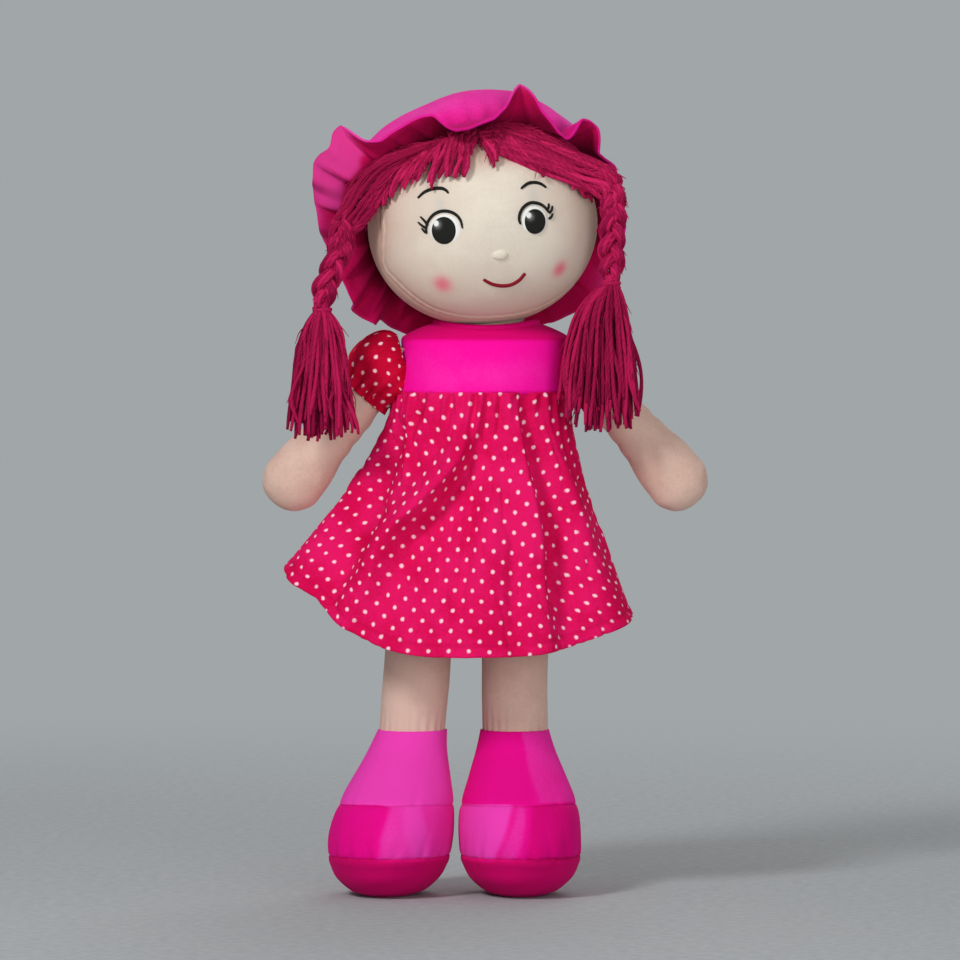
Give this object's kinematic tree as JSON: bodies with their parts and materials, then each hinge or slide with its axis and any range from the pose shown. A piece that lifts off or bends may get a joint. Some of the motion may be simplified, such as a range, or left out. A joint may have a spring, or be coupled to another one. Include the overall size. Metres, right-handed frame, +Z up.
{
  "type": "rag doll",
  "caption": "Stuffed rag doll in a gathered dress and ruffled cap, with yarn braids, soft limbs that fold at sewn joints, and flat soft soles to stand on.",
  "frame": {"origin": "on the floor, under the centre of the doll's outline", "axes": "+X to the doll's own left, +Y to its back, +Z up from the soles to the cap"},
  "size_m": [0.2454, 0.1474, 0.4441],
  "materials": {
    "skin": "matt short-pile knit",
    "face": "matt smooth knit",
    "velour": "soft velour",
    "velour_dark": "soft velour, shaded nap",
    "dots": "printed cotton",
    "yarn": "matt yarn",
    "filling": "loose fibre",
    "eye": "satin embroidery",
    "thread": "satin embroidery",
    "mouth": "satin embroidery"
  },
  "bodies": {
    "torso": {"torso_skin": "skin", "torso_filling": "filling", "bodice": "velour", "neckline_binding": "velour_dark", "skirt": "dots", "left_sleeve": "dots", "right_sleeve": "dots"},
    "neck": {"neck": "skin"},
    "head": {"face_panel": "face", "head_back_panel": "face", "head_filling": "filling", "left_eye": "eye", "right_eye": "eye", "left_brow": "thread", "right_brow": "thread", "nose": "face", "mouth": "mouth", "cap_crown": "velour", "cap_brim": "velour", "left_fringe": "yarn", "right_fringe": "yarn", "left_side_hair": "yarn", "right_side_hair": "yarn"},
    "hips": {"hip_strip": "skin"},
    "left_arm": {"left_arm_skin": "skin", "left_arm_filling": "filling"},
    "left_leg": {"left_leg_skin": "skin", "left_leg_filling": "filling", "left_shoe_sole": "velour_dark", "left_shoe_toe_band": "velour", "left_shoe_upper": "velour", "left_foot_filling": "filling"},
    "left_braid": {"left_braid_strand_1": "yarn", "left_braid_strand_2": "yarn", "left_braid_strand_3": "yarn", "left_hair_tie": "yarn", "left_tassel": "yarn"},
    "right_arm": {"right_arm_skin": "skin", "right_arm_filling": "filling"},
    "right_leg": {"right_leg_skin": "skin", "right_leg_filling": "filling", "right_shoe_sole": "velour_dark", "right_shoe_toe_band": "velour", "right_shoe_upper": "velour", "right_foot_filling": "filling"},
    "right_braid": {"right_braid_strand_1": "yarn", "right_braid_strand_2": "yarn", "right_braid_strand_3": "yarn", "right_hair_tie": "yarn", "right_tassel": "yarn"}
  },
  "joints": [
    {"name": "head_turn", "type": "hinge", "parent": "torso", "child": "neck", "pos_m": [0.0006, 0.00085, 0.311], "axis": [0, 0, 1], "range_deg": [-10, 10]},
    {"name": "head_nod", "type": "hinge", "parent": "neck", "child": "head", "pos_m": [0.0006, 0.00085, 0.311], "axis": [1, 0, 0], "range_deg": [-12, 6], "deforming": ["neck"]},
    {"name": "left_braid_swing", "type": "hinge", "parent": "head", "child": "left_braid", "pos_m": [0.0746, -0.03715, 0.3875], "axis": [-1, 0, 0], "range_deg": [-3, 30]},
    {"name": "right_braid_swing", "type": "hinge", "parent": "head", "child": "right_braid", "pos_m": [-0.0784, -0.04115, 0.3685], "axis": [-1, 0, 0], "range_deg": [-3, 30]},
    {"name": "left_arm_swing", "type": "hinge", "parent": "torso", "child": "left_arm", "pos_m": [0.04436, 0.00085, 0.30333], "axis": [0, -1, 0], "range_deg": [-4, 45], "deforming": ["left_sleeve"]},
    {"name": "right_arm_swing", "type": "hinge", "parent": "torso", "child": "right_arm", "pos_m": [-0.04433, 0.00085, 0.30333], "axis": [0, 1, 0], "range_deg": [-4, 45], "deforming": ["right_sleeve"]},
    {"name": "sit_fold", "type": "hinge", "parent": "torso", "child": "hips", "pos_m": [-0.0084, 0.00085, 0.1915], "axis": [-1, 0, 0], "range_deg": [-10, 85], "deforming": ["skirt"]},
    {"name": "left_leg_swing", "type": "hinge", "parent": "hips", "child": "left_leg", "pos_m": [0.0166, 0.00085, 0.1855], "axis": [-1, 0, 0], "range_deg": [-15, 15], "deforming": ["skirt"]},
    {"name": "right_leg_swing", "type": "hinge", "parent": "hips", "child": "right_leg", "pos_m": [-0.0334, 0.00085, 0.1855], "axis": [-1, 0, 0], "range_deg": [-15, 15], "deforming": ["skirt"]}
  ]
}
